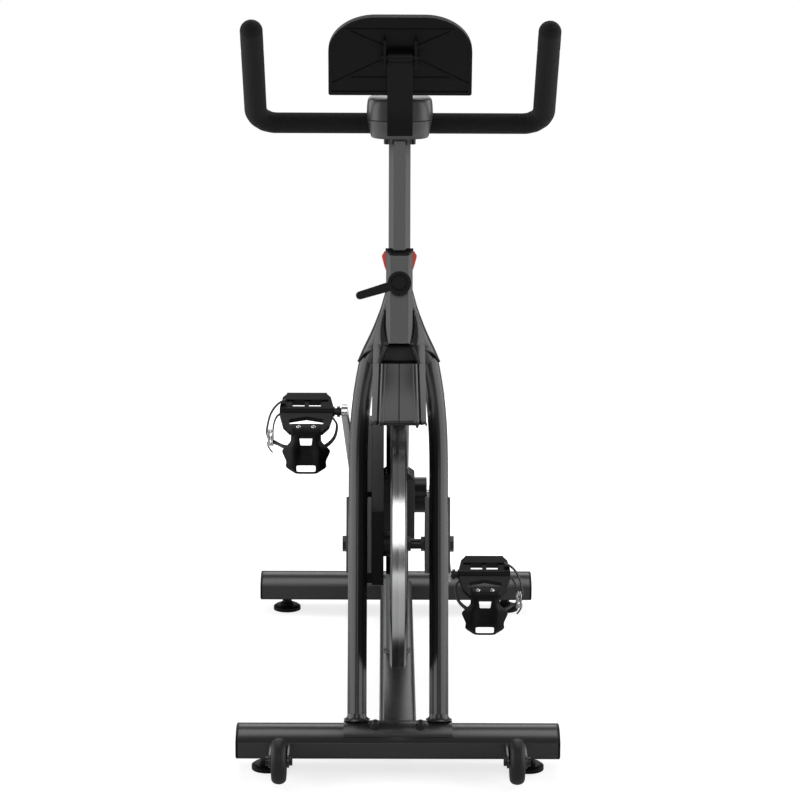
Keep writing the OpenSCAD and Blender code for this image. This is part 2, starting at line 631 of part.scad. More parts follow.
module console_upper() color([0.13, 0.13, 0.14]) difference() {
  union() {
    console(989, 1014, 51.5, 51);
    console(1013.9, 1023, 51, 44);
  }
}
arm_line = [[-225, 970], [-226, 1000], [-232, 1020], [-237.5, 1032], [-241.5, 1048], [-246, 1066], [-253, 1084]];
module on_tablet() translate([0, -229, 1031.5]) rotate([12, 0, 0]) children();
module tablet_arm() color(black) {
  // strap in front of the console, with a lip at its foot and an eye at its top
  side(-19.5, 19.5) {
    polygon(concat(arm_line, [for (i = [len(arm_line) - 1 : -1 : 0]) arm_line[i] - [5.5, 0]]));
    translate([-230, 967]) square([10, 5]);
  }
  on_tablet() rod_x(-18.5, 18.5, 8.5, -16, 63);
  on_tablet() rod_x(-29, 29, 4, -16, 63);
}
module tablet_outline(d) {
  // back view outline, origin at the middle of the lower edge
  offset(delta = -d) hull() {
    translate([-106, 3]) circle(r = 3.3);
    translate([106, 3]) circle(r = 3.3);
    mirror_x() translate([37.3, 68]) scale([72, 54.5]) circle(r = 1, $fn = 96);
  }
}
module tablet_holder() color(black) on_tablet() difference() {
  union() {
    difference() {
      // tray with its rim toward the rider, shallow recess in the back
      rotate([90, 0, 0]) translate([0, 0, -16]) linear_extrude(22) tablet_outline(0);
      translate([0, -3.4, 0]) rotate([90, 0, 0]) linear_extrude(10) tablet_outline(5);
      translate([0, 17, 0]) rotate([90, 0, 0]) linear_extrude(17.6) tablet_outline(3.5);
      translate([-120, 10, 20]) cube([240, 10, 140]);
    }
    for (s = [-1, 1]) translate([s * 23.5 - 1.6, -24, 46]) cube([3.2, 21.5, 45]);
    translate([-76, -5.8, 25]) cube([152, 3, 2.6]);
    translate([-84, -5.8, 101]) cube([168, 3, 2.6]);
    for (s = [-1, 1]) {
      translate([s * 24, -5.8, 76]) rotate([0, s * 66, 0]) translate([-1.3, 0, 0]) cube([2.6, 3, 70]);
      translate([s * 24, -5.8, 56]) rotate([0, s * 116, 0]) translate([-1.3, 0, 0]) cube([2.6, 3, 88]);
    }
  }
  rod_x(-40, 40, 4.05, -16, 63);
}
module post_lever() color(black) on_head() translate([0, 0, lever_z]) rotate([90, 0, 0]) {
  translate([0, 0, 22.8]) cylinder(h = 18, r = 6);
  translate([0, 0, 26.8]) cylinder(h = 8, r = 15);
  translate([0, 0, 34.5]) difference() {
    cylinder(h = 12, r = 18);
    translate([0, 0, 9]) cylinder(h = 4, r = 13);
  }
  translate([0, 0, 43]) cylinder(h = 4.5, r = 10.5, $fn = 6);
  hull() {
    translate([-14, -4.6, 37]) cylinder(h = 8, r = 7);
    translate([-60.5, -19, 39]) cylinder(h = 7, r = 6);
  }
}

front_stabilizer();
rear_stabilizer();
stabilizer_caps();
base_plate();
frame_bolts();
floor_beam();
transport_wheel_left();
transport_wheel_right();
foot_front_left();
foot_front_right();
foot_rear_left();
foot_rear_right();
left_leg();
right_leg();
crown();
head_tube();
head_bushing();
bushing_tabs();
post_lever();
fender();
main_tube();
seat_tube();
seat_bushing();
bottom_bracket();
bearing_cups();
flywheel_axle();
flywheel();
flywheel_hub();
drive_belt();
belt_guard_outer();
belt_guard_inner();
drive_pulley();
crank_axle();
crank_left();
crank_right();
pedal_spindles();
pedal_left();
toe_clip_left();
strap_left();
buckle_left();
pedal_right();
toe_clip_right();
strap_right();
buckle_right();
brake_shoe();
resistance_knob();
seat_post();
seat_post_knob();
seat_head();
seat_slider();
slider_knob();
saddle_pan();
saddle();
handlebar_post();
handlebar();
foam_grips();
console_lower();
console_upper();
tablet_arm();
tablet_holder();
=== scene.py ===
"""Indoor cycling bike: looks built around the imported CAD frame. Metres, +Z up, front at -Y."""
import json
import math

import bmesh
import bpy
from mathutils import Matrix, Vector
from mathutils.bvhtree import BVHTree


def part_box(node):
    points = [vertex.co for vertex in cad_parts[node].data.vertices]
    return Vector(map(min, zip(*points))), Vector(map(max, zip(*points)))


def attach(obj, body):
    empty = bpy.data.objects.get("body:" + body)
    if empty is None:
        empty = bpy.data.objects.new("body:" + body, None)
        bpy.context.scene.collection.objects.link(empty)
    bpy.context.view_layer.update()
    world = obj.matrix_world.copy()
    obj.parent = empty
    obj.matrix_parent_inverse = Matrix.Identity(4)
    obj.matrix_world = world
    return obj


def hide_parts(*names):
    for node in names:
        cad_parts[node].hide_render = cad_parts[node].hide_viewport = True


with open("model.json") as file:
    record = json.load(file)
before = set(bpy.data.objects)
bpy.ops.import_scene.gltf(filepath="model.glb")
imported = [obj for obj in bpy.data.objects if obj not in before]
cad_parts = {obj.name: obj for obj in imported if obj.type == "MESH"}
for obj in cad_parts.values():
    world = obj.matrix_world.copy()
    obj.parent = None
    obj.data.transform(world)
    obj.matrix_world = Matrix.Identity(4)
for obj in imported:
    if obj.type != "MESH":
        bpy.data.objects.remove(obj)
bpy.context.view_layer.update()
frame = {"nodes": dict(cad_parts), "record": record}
NODES = frame["nodes"]
scene = bpy.context.scene
MM = 0.001

# the camera stands where the photograph was taken from, in metres
EYE = (-0.022, -4.391, 1.476)
TILT, YAW, ROLL = math.radians(12.51), math.radians(0.33), math.radians(0.25)
LENS, SENSOR = 122.5, 36.0

# brightness of what surrounds the bike, seen directly or in its reflections
WORLD_REFLECTED = 0.13
FLOOR_RADIUS = 2.3
FLOOR_NEAR, FLOOR_FAR = 0.4, 1.5
FLOOR_SEEN_NEAR, FLOOR_SEEN_FAR = 0.72, 1.0
FLOOR_DIM_NEAR, FLOOR_DIM_FAR = 0.9, 2.0
FLOOR_REFLECTED_NEAR, FLOOR_REFLECTED_FAR = 0.08, 0.85

# name, place, aim, width, height, radiance
SOFTBOXES = [
    ("front_box", (0, -3.3, 2.4), (0, 0, 0.5), 0.8, 2.8, 2.4),
    ("left_panel", (-2.4, -0.2, 1.1), (0, -0.2, 0.6), 4.0, 2.2, 1.9),
    ("right_panel", (2.4, -0.2, 1.1), (0, -0.2, 0.6), 4.0, 2.2, 1.9),
    ("top_box", (0, 0.9, 3.0), (0, 0, 0.4), 2.4, 1.6, 2.2),
    ("back_box", (0, 3.0, 1.6), (0, 0, 0.5), 2.4, 1.2, 1.5),
]


# ---------- shader helpers ----------
def node_kit(name):
    """A new material, its shader, and short ways to add and link nodes."""
    m = bpy.data.materials.new(name)
    m.use_nodes = True
    nt = m.node_tree
    bsdf = nt.nodes["Principled BSDF"]

    def add(kind, **values):
        n = nt.nodes.new(kind)
        for k, v in values.items():
            if k in n.inputs:
                n.inputs[k].default_value = v
            else:
                setattr(n, k, v)
        return n

    def link(a, ao, b, bi):
        nt.links.new(a.outputs[ao], b.inputs[bi])

    return m, bsdf, add, link


def span(add, low, high, from_low=0.0, from_high=1.0):
    """Map Range from one pair of values to another."""
    n = add("ShaderNodeMapRange")
    n.inputs["From Min"].default_value = from_low
    n.inputs["From Max"].default_value = from_high
    n.inputs["To Min"].default_value = low
    n.inputs["To Max"].default_value = high
    return n


def mix_color(add, blend="MIX", a=None, b=None, factor=None):
    n = add("ShaderNodeMix", data_type="RGBA", blend_type=blend)
    if a:
        n.inputs["A"].default_value = (*a, 1)
    if b:
        n.inputs["B"].default_value = (*b, 1)
    if factor is not None:
        n.inputs["Factor"].default_value = factor
    return n


def scaled(color, share):
    return tuple(c * share for c in color)


# ---------- camera, light, floor ----------
def make_camera():
    cam = bpy.data.cameras.new("camera")
    obj = bpy.data.objects.new("camera", cam)
    scene.collection.objects.link(obj)
    fwd = Vector((math.sin(YAW) * math.cos(TILT), math.cos(YAW) * math.cos(TILT), -math.sin(TILT)))
    level = Vector((math.cos(YAW), -math.sin(YAW), 0))
    over = level.cross(fwd)
    right = level * math.cos(ROLL) + over * math.sin(ROLL)
    up = over * math.cos(ROLL) - level * math.sin(ROLL)
    rot = Matrix((right, up, -fwd)).transposed()
    obj.matrix_world = Matrix.Translation(EYE) @ rot.to_4x4()
    cam.sensor_width = SENSOR
    cam.lens = LENS
    cam.clip_end = 60
    scene.camera = obj


def area_light(name, place, aim, width, height, radiance):
    """A softbox that gives the same brightness whatever its size, and never shows itself."""
    data = bpy.data.lights.new(name, "AREA")
    data.shape = "RECTANGLE"
    data.size = width
    data.size_y = height
    data.energy = radiance * math.pi * width * height
    obj = bpy.data.objects.new(name, data)
    scene.collection.objects.link(obj)
    obj.location = place
    obj.rotation_euler = (Vector(aim) - Vector(place)).to_track_quat("-Z", "Y").to_euler()
    obj.visible_camera = False


def make_world():
    """White behind the bike, dim in the reflections."""
    scene.view_settings.view_transform = "Standard"
    world = bpy.data.worlds.new("world")
    scene.world = world
    world.use_nodes = True
    nt = world.node_tree
    background = nt.nodes["Background"]
    background.inputs["Color"].default_value = (1, 1, 1, 1)
    path = nt.nodes.new("ShaderNodeLightPath")
    level = nt.nodes.new("ShaderNodeMapRange")
    level.inputs["To Min"].default_value = WORLD_REFLECTED
    level.inputs["To Max"].default_value = 1.0
    nt.links.new(path.outputs["Is Camera Ray"], level.inputs["Value"])
    nt.links.new(level.outputs["Result"], background.inputs["Strength"])


def make_floor():
    """Pale floor: near white to the eye, dimmer in the reflections, and darker close to the bike in both."""
    bm = bmesh.new()
    bmesh.ops.create_circle(bm, cap_ends=True, segments=96, radius=FLOOR_RADIUS)
    mesh = bpy.data.meshes.new("floor")
    bm.to_mesh(mesh)
    bm.free()
    floor = bpy.data.objects.new("floor", mesh)
    scene.collection.objects.link(floor)
    m, bsdf, add, link = node_kit("floor")
    bsdf.inputs["Base Color"].default_value = (0.55, 0.55, 0.55, 1)
    bsdf.inputs["Roughness"].default_value = 0.8
    bsdf.inputs["Specular IOR Level"].default_value = 0.1
    bsdf.inputs["Emission Color"].default_value = (1, 1, 1, 1)
    coord = add("ShaderNodeTexCoord")
    far = add("ShaderNodeVectorMath", operation="LENGTH")
    link(coord, "Object", far, 0)
    seen = span(add, FLOOR_SEEN_NEAR, FLOOR_SEEN_FAR, FLOOR_NEAR, FLOOR_FAR)
    link(far, "Value", seen, "Value")
    dim = span(add, FLOOR_REFLECTED_NEAR, FLOOR_REFLECTED_FAR, FLOOR_DIM_NEAR, FLOOR_DIM_FAR)
    link(far, "Value", dim, "Value")
    path = add("ShaderNodeLightPath")
    glow = add("ShaderNodeMix")
    link(path, "Is Camera Ray", glow, "Factor")
    link(dim, "Result", glow, "A")
    link(seen, "Result", glow, "B")
    link(glow, "Result", bsdf, "Emission Strength")
    mesh.materials.append(m)


# ---------- materials ----------
def surface(name, color, rough=0.5, metal=0.0, spread=0.15, scale=8.0, grain=0.0, grain_scale=300.0,
            rough_spread=0.08, spec=0.5, edge=0.8, edge_highlight=0.3, sheen=0.0):
    """Colour and roughness that drift by their spreads, rounded edges painted paler as a painted highlight,
    and a fine grain.
    """
    m, bsdf, add, link = node_kit(name)
    coord = add("ShaderNodeTexCoord")
    drift = add("ShaderNodeTexNoise", Scale=scale, Detail=4.0, Roughness=0.6)
    link(coord, "Object", drift, "Vector")
    shade = span(add, 1 - spread, 1 + spread)
    link(drift, "Fac", shade, "Value")
    tint = mix_color(add, "MULTIPLY", a=color, factor=1)
    link(shade, "Result", tint, "B")
    # where the rounded normal leaves the flat one there is an edge
    rounded = add("ShaderNodeBevel", Radius=edge * MM)
    rounded.samples = 4
    geo = add("ShaderNodeNewGeometry")
    dot = add("ShaderNodeVectorMath", operation="DOT_PRODUCT")
    link(rounded, "Normal", dot, 0)
    link(geo, "Normal", dot, 1)
    mask = span(add, edge_highlight, 0.0, 0.82, 0.99)
    link(dot, "Value", mask, "Value")
    # rounded edges are mixed toward a paler colour: a painted highlight along them
    highlit_edge = mix_color(add, b=tuple(min(1, c * 2.2 + 0.03) for c in color))
    link(mask, "Result", highlit_edge, "Factor")
    link(tint, "Result", highlit_edge, "A")
    link(highlit_edge, "Result", bsdf, "Base Color")
    gloss = span(add, max(0.02, rough - rough_spread), min(1.0, rough + rough_spread))
    link(drift, "Fac", gloss, "Value")
    link(gloss, "Result", bsdf, "Roughness")
    bsdf.inputs["Metallic"].default_value = metal
    bsdf.inputs["Specular IOR Level"].default_value = spec
    bsdf.inputs["Sheen Weight"].default_value = sheen
    normal = rounded
    if grain:
        fine = add("ShaderNodeTexNoise", Scale=grain_scale, Detail=3.0, Roughness=0.55)
        link(coord, "Object", fine, "Vector")
        normal = add("ShaderNodeBump", Strength=grain, Distance=0.001)
        link(fine, "Fac", normal, "Height")
        link(rounded, "Normal", normal, "Normal")
    link(normal, "Normal", bsdf, "Normal")
    return m


def turned_steel():
    """Rim ground on a lathe: fine rings across X, in bands of different polish, between flanks darkened as
    painted shade.
    """
    m, bsdf, add, link = node_kit("turned_steel")
    coord = add("ShaderNodeTexCoord")
    split = add("ShaderNodeSeparateXYZ")
    link(coord, "Object", split, "Vector")
    rings = add("ShaderNodeTexNoise", Scale=900.0, Detail=3.0, noise_dimensions="1D")
    link(split, "X", rings, "W")
    bands = add("ShaderNodeTexNoise", Scale=160.0, Detail=2.0, noise_dimensions="1D")
    link(split, "X", bands, "W")
    shade = span(add, 0.78, 1.14)
    link(bands, "Fac", shade, "Value")
    tint = mix_color(add, "MULTIPLY", a=(0.62, 0.625, 0.63), factor=1)
    link(shade, "Result", tint, "B")
    # flanks that face sideways get a dark colour: painted shade
    geo = add("ShaderNodeNewGeometry")
    facing = add("ShaderNodeSeparateXYZ")
    link(geo, "True Normal", facing, "Vector")
    sideways = add("ShaderNodeMath", operation="ABSOLUTE")
    link(facing, "X", sideways, 0)
    flank_shade = span(add, 0.0, 1.0, 0.3, 0.8)
    link(sideways, "Value", flank_shade, "Value")
    shaded_flanks = mix_color(add, b=(0.035, 0.035, 0.037))
    link(flank_shade, "Result", shaded_flanks, "Factor")
    link(tint, "Result", shaded_flanks, "A")
    link(shaded_flanks, "Result", bsdf, "Base Color")
    gloss = span(add, 0.12, 0.3)
    link(bands, "Fac", gloss, "Value")
    link(gloss, "Result", bsdf, "Roughness")
    bsdf.inputs["Metallic"].default_value = 1
    bump = add("ShaderNodeBump", Strength=0.08, Distance=0.0004)
    link(rings, "Fac", bump, "Height")
    link(bump, "Normal", bsdf, "Normal")
    return m


def woven(name, color, pitch=0.0011):
    """Flat-woven webbing: ribs in two directions, pitch metres apart."""
    m, bsdf, add, link = node_kit(name)
    coord = add("ShaderNodeTexCoord")
    waves = []
    for axis in ("Y", "Z"):
        wave = add("ShaderNodeTexWave", bands_direction=axis, Scale=0.31 / pitch, Distortion=0.4)
        wave.wave_type = "BANDS"
        link(coord, "Object", wave, "Vector")
        waves.append(wave)
    both = add("ShaderNodeMath", operation="MULTIPLY")
    link(waves[0], "Fac", both, 0)
    link(waves[1], "Fac", both, 1)
    mixed = mix_color(add, a=scaled(color, 0.6), b=scaled(color, 1.6))
    link(both, "Value", mixed, "Factor")
    link(mixed, "Result", bsdf, "Base Color")
    gloss = span(add, 0.75, 0.55)
    link(both, "Value", gloss, "Value")
    link(gloss, "Result", bsdf, "Roughness")
    bump = add("ShaderNodeBump", Strength=0.5, Distance=0.0003)
    link(both, "Value", bump, "Height")
    link(bump, "Normal", bsdf, "Normal")
    bsdf.inputs["Sheen Weight"].default_value = 0.15
    return m


def leather(name, color):
    """Vinyl saddle cover: pebbled cells, darker between them, and lightly creased."""
    m, bsdf, add, link = node_kit(name)
    coord = add("ShaderNodeTexCoord")
    cells = add("ShaderNodeTexVoronoi", Scale=620.0, feature="DISTANCE_TO_EDGE")
    link(coord, "Object", cells, "Vector")
    drift = add("ShaderNodeTexNoise", Scale=22.0, Detail=5.0)
    link(coord, "Object", drift, "Vector")
    pebble = span(add, 0.0, 1.0, 0.0, 0.35)
    link(cells, "Distance", pebble, "Value")
    shade = mix_color(add, a=scaled(color, 0.5), b=scaled(color, 1.35))
    link(pebble, "Result", shade, "Factor")
    tint = mix_color(add, "MULTIPLY", factor=1)
    level = span(add, 0.8, 1.25)
    link(drift, "Fac", level, "Value")
    link(shade, "Result", tint, "A")
    link(level, "Result", tint, "B")
    link(tint, "Result", bsdf, "Base Color")
    gloss = span(add, 0.42, 0.6)
    link(drift, "Fac", gloss, "Value")
    link(gloss, "Result", bsdf, "Roughness")
    creases = add("ShaderNodeBump", Strength=0.25, Distance=0.002)
    link(drift, "Fac", creases, "Height")
    bump = add("ShaderNodeBump", Strength=0.35, Distance=0.0004)
    link(pebble, "Result", bump, "Height")
    link(creases, "Normal", bump, "Normal")
    link(bump, "Normal", bsdf, "Normal")
    return m


LOOKS = {
    "paint": surface("paint", (0.0195, 0.02, 0.021), rough=0.25, spread=0.08, scale=5, grain=0.02,
                     grain_scale=1300, rough_spread=0.03, spec=0.6, edge=1.1, edge_highlight=0.5),
    "plastic": surface("plastic", (0.0035, 0.0035, 0.0037), rough=0.42, scale=14, grain=0.1, grain_scale=1600,
                       rough_spread=0.06, spec=0.2, edge_highlight=0.25),
    "gloss": surface("gloss", (0.05, 0.051, 0.053), rough=0.34, spread=0.1, scale=10, grain=0.04,
                     grain_scale=1500, rough_spread=0.05, spec=0.75),
    "red": surface("red", (0.9, 0.06, 0.035), rough=0.4, spread=0.08, scale=30, grain=0.05, grain_scale=1200),
    "rubber": surface("rubber", (0.010, 0.010, 0.0104), spread=0.2, scale=30, grain=0.15, grain_scale=1500,
                      spec=0.4),
    "black_steel": surface("black_steel", (0.006, 0.006, 0.0064), rough=0.3, spread=0.1, scale=20, grain=0.05,
                           grain_scale=1500, spec=0.4),
    "chrome": surface("chrome", (0.6, 0.605, 0.61), rough=0.2, metal=1.0, spread=0.05, scale=20, grain=0.02,
                      grain_scale=1500, rough_spread=0.05, edge_highlight=0.0),
    "foam": surface("foam", (0.0065, 0.0065, 0.0068), rough=0.84, spread=0.3, scale=55, grain=0.6,
                    grain_scale=1900, rough_spread=0.05, spec=0.25, edge_highlight=0.0, sheen=0.06),
    "felt": surface("felt", (0.006, 0.0055, 0.005), rough=0.9, spread=0.3, scale=60, grain=0.8,
                    grain_scale=900, rough_spread=0.05, edge_highlight=0.0),
    "dark_metal": surface("dark_metal", (0.02, 0.02, 0.022), rough=0.42, metal=0.5, spread=0.1, scale=20,
                          grain=0.1, grain_scale=900),
    "steel": turned_steel(),
    "webbing": woven("webbing", (0.006, 0.006, 0.0065)),
    "leather": leather("leather", (0.010, 0.010, 0.0105)),
}
SLOT_LOOK = {
    "frame_paint": "paint",
    "black_plastic": "plastic",
    "gloss_plastic": "gloss",
    "red_plastic": "red",
    "rubber": "rubber",
    "black_steel": "black_steel",
    "bare_steel": "steel",
    "dark_metal": "dark_metal",
    "chrome": "chrome",
    "webbing": "webbing",
    "felt": "felt",
    "foam": "foam",
    "saddle_cover": "leather",
}
RECORD = frame["record"]
JOINT_AT = {j["name"]: j["pos_m"] for j in RECORD["behaviour"]["joints"] if "pos_m" in j}
SLOT_OF = {part["node"]: part["material_slot"] for part in RECORD["subparts"]}


# ---------- mesh helpers, all in millimetres ----------
def piece(name, verts, faces, look, body, replaced=(), sharp=40.0, thick=0.0, rounds=0):
    """A new piece of the object that rides on a body, may stand for CAD nodes, and has the finish it is
    given.
    """
    mesh = bpy.data.meshes.new(name)
    mesh.from_pydata([Vector(v) * MM for v in verts], [], [tuple(f) for f in faces])
    bm = bmesh.new()
    bm.from_mesh(mesh)
    bmesh.ops.remove_doubles(bm, verts=bm.verts, dist=2e-6)
    bmesh.ops.recalc_face_normals(bm, faces=bm.faces)
    bm.to_mesh(mesh)
    bm.free()
    for p in mesh.polygons:
        p.use_smooth = True
    mesh.set_sharp_from_angle(angle=math.radians(sharp))
    mesh.materials.append(LOOKS[look])
    obj = bpy.data.objects.new(name, mesh)
    scene.collection.objects.link(obj)
    if thick:
        shell = obj.modifiers.new("shell", "SOLIDIFY")
        shell.thickness = thick * MM
        shell.offset = 0
    if rounds:
        smooth = obj.modifiers.new("rounds", "SUBSURF")
        smooth.levels = smooth.render_levels = rounds
    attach(obj, body)
    if replaced:
        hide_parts(*replaced)
    return obj


def lerp(a, b, t):
    return a + (b - a) * t


def clamp(t):
    return max(0.0, min(1.0, t))


def bump_at(t, middle, spread):
    """1 at the middle, falling to 0 over the spread on both sides."""
    return math.exp(-((t - middle) / spread) ** 2)


def flat_bump_at(t, middle, spread):
    """The same with a broad top and steeper sides."""
    return math.exp(-((t - middle) / spread) ** 4)


def table(rows, z):
    """Value at z of a list of (z, value) pairs that runs downward or upward."""
    rows = sorted(rows)
    if z <= rows[0][0]:
        return rows[0][1]
    for (z0, v0), (z1, v1) in zip(rows, rows[1:]):
        if z <= z1:
            return lerp(v0, v1, (z - z0) / (z1 - z0))
    return rows[-1][1]


def smooth_path(points, steps=8):
    """A smooth curve through the points."""
    p = [Vector(q) for q in points]
    p = [p[0] * 2 - p[1]] + p + [p[-1] * 2 - p[-2]]
    out = []
    for i in range(1, len(p) - 2):
        for k in range(steps):
            t = k / steps
            out.append(0.5 * (2 * p[i] + (p[i + 1] - p[i - 1]) * t
                              + (2 * p[i - 1] - 5 * p[i] + 4 * p[i + 1] - p[i + 2]) * t * t
                              + (3 * p[i] - p[i - 1] - 3 * p[i + 1] + p[i + 2]) * t ** 3))
    out.append(p[-2])
    return out


def oval(w, h, n=24, power=2.0):
    """Outline of a superellipse."""
    out = []
    for k in range(n):
        c = math.cos(2 * math.pi * k / n)
        s = math.sin(2 * math.pi * k / n)
        x = w * math.copysign(abs(c) ** (2 / power), c)
        y = h * math.copysign(abs(s) ** (2 / power), s)
        out.append((x, y))
    return out


def loft(rings, caps=True, loop=False):
    """Closed rings of points joined one to the next, with caps on the first and last."""
    n = len(rings)
    m = len(rings[0])
    verts = [p for ring in rings for p in ring]
    faces = []
    for k in range(n if loop else n - 1):
        j = (k + 1) % n
        for i in range(m):
            faces.append((k * m + i, k * m + (i + 1) % m, j * m + (i + 1) % m, j * m + i))
    if caps and not loop:
        faces.append(range(m - 1, -1, -1))
        faces.append(range((n - 1) * m, n * m))
    return verts, faces


def sweep(points, ring, side=(1, 0, 0), caps=True, loop=False):
    """Outlines ring(k), in the plane across the path at point k, joined into a tube."""
    n = len(points)
    rings = []
    across = Vector(side)
    for k, p in enumerate(points):
        before = points[k - 1] if loop else points[max(k - 1, 0)]
        after = points[(k + 1) % n] if loop else points[min(k + 1, n - 1)]
        along = (after - before).normalized()
        across = (across - along * across.dot(along)).normalized()
        other = along.cross(across)
        rings.append([p + across * a + other * b for a, b in ring(k)])
    return loft(rings, caps, loop)


def join(*shapes):
    """Several (verts, faces) as one."""
    verts, faces = [], []
    for v, f in shapes:
        base = len(verts)
        verts += list(v)
        faces += [[i + base for i in face] for face in f]
    return verts, faces


def mirrored(shape):
    """The shape on the other side of the bike's middle plane."""
    verts, faces = shape
    return [(-x, y, z) for x, y, z in verts], [list(face)[::-1] for face in faces]


def grid(rows, keep=None):
    """Rows of points joined into a sheet. keep(i, j) may leave cells open."""
    m = len(rows[0])
    verts = [p for row in rows for p in row]
    faces = []
    for i in range(len(rows) - 1):
        for j in range(m - 1):
            if keep is None or keep(i, j):
                faces.append((i * m + j, i * m + j + 1, (i + 1) * m + j + 1, (i + 1) * m + j))
    return verts, faces


def turned(center, axis, profile, n=32):
    """Solid of revolution: profile is (distance along the axis, radius) pairs, closed at both ends."""
    a = Vector(axis).normalized()
    u = a.orthogonal().normalized()
    v = a.cross(u)
    rings = []
    for d, r in profile:
        turns = [2 * math.pi * k / n for k in range(n)]
        rings.append([Vector(center) + a * d + (u * math.cos(t) + v * math.sin(t)) * r for t in turns])
    return loft(rings)


def cad(node):
    """Lowest and highest corner of a CAD node, in millimetres."""
    low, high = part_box(node)
    return low / MM, high / MM


# ---------- handlebar foam ----------
GRIP_R, UPRIGHT_R, BEND_R = 16.0, 17.2, 32.0
FOAM_START = 38
# rings cut into the foam, at these distances from the end of the upright
GROOVES_AT, GROOVE_DEEP, GROOVE_WIDE = (4.0, 42.0), 0.45, 2.2
WRINKLE_DEEP, WRINKLES = 0.22, 22


def foam_path():
    """One side of the bar: flat stretch, bend, upright, and the dome at its end."""
    low, high = cad("foam_grips")
    bar = Vector((0, high.y - GRIP_R, low.z + GRIP_R))
    end = Vector((high.x - GRIP_R, low.y + GRIP_R, high.z - GRIP_R))
    corner = Vector((end.x, bar.y, bar.z))
    rise = (end - corner).normalized()
    start = Vector((FOAM_START, bar.y, bar.z))
    bend_start = corner - Vector((BEND_R, 0, 0))
    bend_end = corner + rise * BEND_R
    middle = bend_start + rise * BEND_R
    flat = [start.lerp(bend_start, k / 14) for k in range(14)]
    turn = []
    for k in range(25):
        t = math.pi / 2 * k / 24
        turn.append(middle - rise * BEND_R * math.cos(t) + Vector((BEND_R * math.sin(t), 0, 0)))
    up = [bend_end.lerp(end, k / 30) for k in range(1, 31)]
    dome = [end + rise * UPRIGHT_R * math.sin(math.pi / 2 * k / 10) for k in range(1, 11)]
    return flat, turn, up, dome


def make_foam():
    flat, turn, up, dome = foam_path()
    points = flat + turn + up + dome
    n_flat, n_turn, n_up = len(flat), len(turn), len(up)
    length = (up[-1] - turn[-1]).length

    def radius(k):
        if k < n_flat:
            return GRIP_R
        k -= n_flat
        if k < n_turn:
            t = k / (n_turn - 1)
            # the foam bunches into shallow wrinkles around the bend
            wrinkle = WRINKLE_DEEP * math.sin(t * WRINKLES) * math.sin(math.pi * t)
            return lerp(GRIP_R, UPRIGHT_R, t) + wrinkle
        k -= n_turn
        if k < n_up:
            left = length * (1 - (k + 1) / n_up)
            return UPRIGHT_R - GROOVE_DEEP * sum(bump_at(left, groove, GROOVE_WIDE) for groove in GROOVES_AT)
        t = (k - n_up + 1) / len(dome)
        return UPRIGHT_R * max(0.02, math.cos(math.pi / 2 * t))

    grip = sweep(points, lambda k: oval(radius(k), radius(k), 40), side=(0, 0, 1))
    piece("foam_grip_left", *grip, "foam", "handlebar", ("foam_grips",), sharp=80)
    piece("foam_grip_right", *mirrored(grip), "foam", "handlebar", ("foam_grips",), sharp=80)


# ---------- console ----------
def make_console():
    """Two shells, whose rings are shares of the full width and depth, and two screws below."""
    low, high = cad("console_lower")
    mid_y = (low.y + high.y) / 2
    deep = (high.y - low.y) / 2
    wide = high.x
    seam = high.z
    foot = low.z + 9
    tall = seam - foot
    rise = cad("console_upper")[1].z - seam

    def shell(rows):
        return loft([[(x, mid_y + y, z) for x, y in oval(wide * w, deep * d, 64, 2.7)] for z, w, d in rows])

    lower = shell([
        (foot, 0.80, 0.82),
        (foot + 0.6, 0.845, 0.87),
        (foot + 2, 0.865, 0.89),
        (foot + tall * 0.3, 0.905, 0.93),
        (foot + tall * 0.6, 0.955, 0.965),
        (seam - 2.5, 0.99, 0.99),
        (seam - 0.9, 0.998, 1.0),
        (seam - 0.2, 0.985, 0.985),
    ])
    upper = shell([
        (seam + 0.3, 0.985, 0.985),
        (seam + 1.0, 0.998, 1.0),
        (seam + rise * 0.3, 0.995, 0.995),
        (seam + rise * 0.6, 0.985, 0.985),
        (seam + rise * 0.8, 0.97, 0.97),
        (seam + rise * 0.9, 0.95, 0.95),
        (seam + rise * 0.96, 0.92, 0.92),
        (seam + rise, 0.86, 0.87),
        (seam + rise + 0.4, 0.6, 0.6),
    ])
    piece("console_shell_lower", *lower, "gloss", "handlebar", ("console_lower",), sharp=35)
    piece("console_shell_upper", *upper, "gloss", "handlebar", ("console_upper",), sharp=35)
    head = [(0, 0.5), (0, 3.6), (0.8, 4.6), (8.5, 4.6), (8.5, 0.5)]
    screws = [turned((x, low.y + 14, foot - 8), (0, 0, 1), head) for x in (-20, 20)]
    piece("console_screws", *join(*screws), "black_steel", "handlebar", sharp=30)


# ---------- crown ----------
# centre line of a sleeve from the head tube down, and its radius at each of these points
CROWN_LINE = [(8, -240, 738), (16, -236, 701), (21.5, -228, 676), (29, -219, 651), (39.5, -211, 625),
              (47.6, -207, 604)]
CROWN_R = [10, 12, 15, 17, 18, 18.6]
CROWN_SIDES = 40
MOUTH_LIFT = 35.0
WEB_LINE = [(0, -240, 724), (0, -236, 700), (0, -229, 664), (0, -225, 640)]
LEG_TOP_LINE = [(24, -226, 666), (32, -218, 646), (40.5, -211.5, 624), (44.4, -209, 613)]


